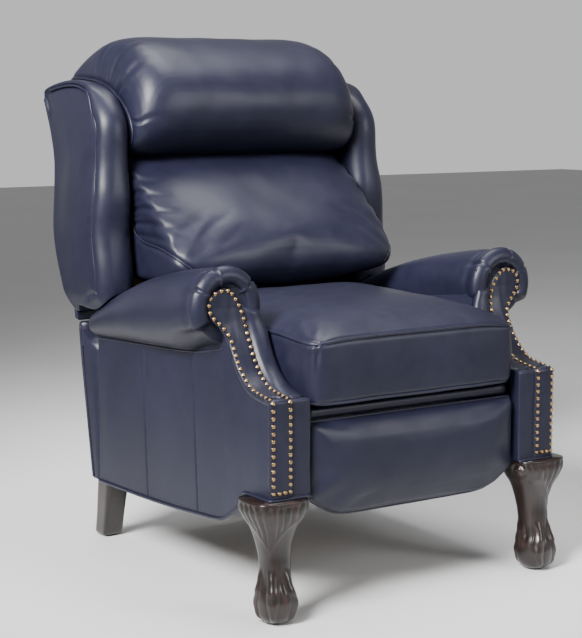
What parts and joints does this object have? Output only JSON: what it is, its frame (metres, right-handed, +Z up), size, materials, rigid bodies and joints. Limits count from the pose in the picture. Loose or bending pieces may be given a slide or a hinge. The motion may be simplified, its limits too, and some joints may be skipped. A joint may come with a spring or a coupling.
{
  "type": "recliner armchair",
  "caption": "Wing-back push-back recliner in navy leather: rolled arms with nail trim, ball-and-claw legs, tipping back, swing-link seat and a lazy-tong footrest.",
  "frame": {"origin": "on the floor, under the middle of the whole chair", "axes": "+Z up, the chair faces -Y, +X is the sitter's left"},
  "size_m": [0.864, 0.982, 1.145],
  "materials": {
    "leather": "satin",
    "walnut": "satin",
    "frame_wood": "matte",
    "steel": "satin",
    "brass": "satin",
    "deck_cloth": "matte",
    "nylon": "matte"
  },
  "bodies": {
    "base": {"front_leg_left": "walnut", "front_leg_right": "walnut", "rear_leg_left": "walnut", "rear_leg_right": "walnut", "front_glide_left": "nylon", "front_glide_right": "nylon", "rear_glide_left": "nylon", "rear_glide_right": "nylon", "arm_panel_left": "frame_wood", "arm_panel_right": "frame_wood", "arm_cover_left": "leather", "arm_cover_right": "leather", "arm_facing_left": "leather", "arm_facing_right": "leather", "nail_trim_left": "brass", "nail_trim_right": "brass", "front_rail": "frame_wood", "rear_rail": "frame_wood", "base_back_panel": "leather", "mount_plate_left": "steel", "mount_plate_right": "steel"},
    "rear_swing": {"rear_swing_frame": "steel"},
    "front_swing": {"front_swing_link_left": "steel", "front_swing_link_right": "steel"},
    "seat": {"seat_plate_left": "steel", "seat_plate_right": "steel", "seat_side_rail_left": "frame_wood", "seat_side_rail_right": "frame_wood", "seat_front_rail": "frame_wood", "seat_rear_rail": "frame_wood", "seat_springs": "steel", "seat_deck": "deck_cloth", "seat_cushion": "leather"},
    "near_upper_links": {"footrest_near_upper_link_left": "steel", "footrest_near_upper_link_right": "steel"},
    "near_lower_links": {"footrest_near_lower_link_left": "steel", "footrest_near_lower_link_right": "steel"},
    "falling_links": {"footrest_falling_link_left": "steel", "footrest_falling_link_right": "steel"},
    "rising_links": {"footrest_rising_link_left": "steel", "footrest_rising_link_right": "steel"},
    "far_upper_links": {"footrest_far_upper_link_left": "steel", "footrest_far_upper_link_right": "steel"},
    "far_lower_links": {"footrest_far_lower_link_left": "steel", "footrest_far_lower_link_right": "steel"},
    "footrest": {"footrest_bracket_left": "steel", "footrest_bracket_right": "steel", "footrest_board": "frame_wood", "footrest_pad": "leather"},
    "back": {"back_board": "frame_wood", "back_bracket_left": "steel", "back_bracket_right": "steel", "wing_board_left": "frame_wood", "wing_board_right": "frame_wood", "wing_pad_left": "leather", "wing_pad_right": "leather", "outside_back_panel": "leather", "lumbar_cushion": "leather", "headrest_cushion": "leather"}
  },
  "joints": [
    {"name": "back_recline", "type": "hinge", "parent": "seat", "child": "back", "pos_m": [0, 0.229, 0.5], "axis": [-1, 0, 0], "range_deg": [0, 30]},
    {"name": "rear_swing_pivot", "type": "hinge", "parent": "base", "child": "rear_swing", "pos_m": [0, 0.069, 0.2], "axis": [1, 0, 0], "range_deg": [0, 30]},
    {"name": "seat_level", "type": "hinge", "parent": "rear_swing", "child": "seat", "pos_m": [0, 0.129, 0.30392], "axis": [1, 0, 0], "range_deg": [-30, 0]},
    {"name": "front_swing_pivot", "type": "hinge", "parent": "base", "child": "front_swing", "pos_m": [0, -0.161, 0.2], "axis": [1, 0, 0], "range_deg": [0, 30]},
    {"name": "footrest_open", "type": "hinge", "parent": "seat", "child": "near_upper_links", "pos_m": [0, -0.311, 0.3], "axis": [1, 0, 0], "range_deg": [0, 60]},
    {"name": "near_lower_pivot", "type": "hinge", "parent": "seat", "child": "near_lower_links", "pos_m": [0, -0.311, 0.3], "axis": [1, 0, 0], "range_deg": [-60, 0]},
    {"name": "falling_pivot", "type": "hinge", "parent": "near_upper_links", "child": "falling_links", "pos_m": [0, -0.31421, 0.39194], "axis": [1, 0, 0], "range_deg": [-120, 0]},
    {"name": "rising_pivot", "type": "hinge", "parent": "near_lower_links", "child": "rising_links", "pos_m": [0, -0.33943, 0.2125], "axis": [1, 0, 0], "range_deg": [0, 120]},
    {"name": "far_upper_pivot", "type": "hinge", "parent": "rising_links", "child": "far_upper_links", "pos_m": [0, -0.34585, 0.39639], "axis": [1, 0, 0], "range_deg": [-120, 0]},
    {"name": "far_lower_pivot", "type": "hinge", "parent": "falling_links", "child": "far_lower_links", "pos_m": [0, -0.37107, 0.21695], "axis": [1, 0, 0], "range_deg": [0, 120]},
    {"name": "footrest_tip", "type": "hinge", "parent": "far_upper_links", "child": "footrest", "pos_m": [0, -0.37428, 0.30889], "axis": [1, 0, 0], "range_deg": [-30, 0]}
  ],
  "couplings": [
    {"joint": "rear_swing_pivot", "follows": "back_recline", "ratio": 1},
    {"joint": "seat_level", "follows": "back_recline", "ratio": -1},
    {"joint": "front_swing_pivot", "follows": "back_recline", "ratio": 1},
    {"joint": "near_lower_pivot", "follows": "footrest_open", "ratio": -1},
    {"joint": "falling_pivot", "follows": "footrest_open", "ratio": -2},
    {"joint": "rising_pivot", "follows": "footrest_open", "ratio": 2},
    {"joint": "far_upper_pivot", "follows": "footrest_open", "ratio": -2},
    {"joint": "far_lower_pivot", "follows": "footrest_open", "ratio": 2},
    {"joint": "footrest_tip", "follows": "footrest_open", "ratio": -0.5}
  ]
}
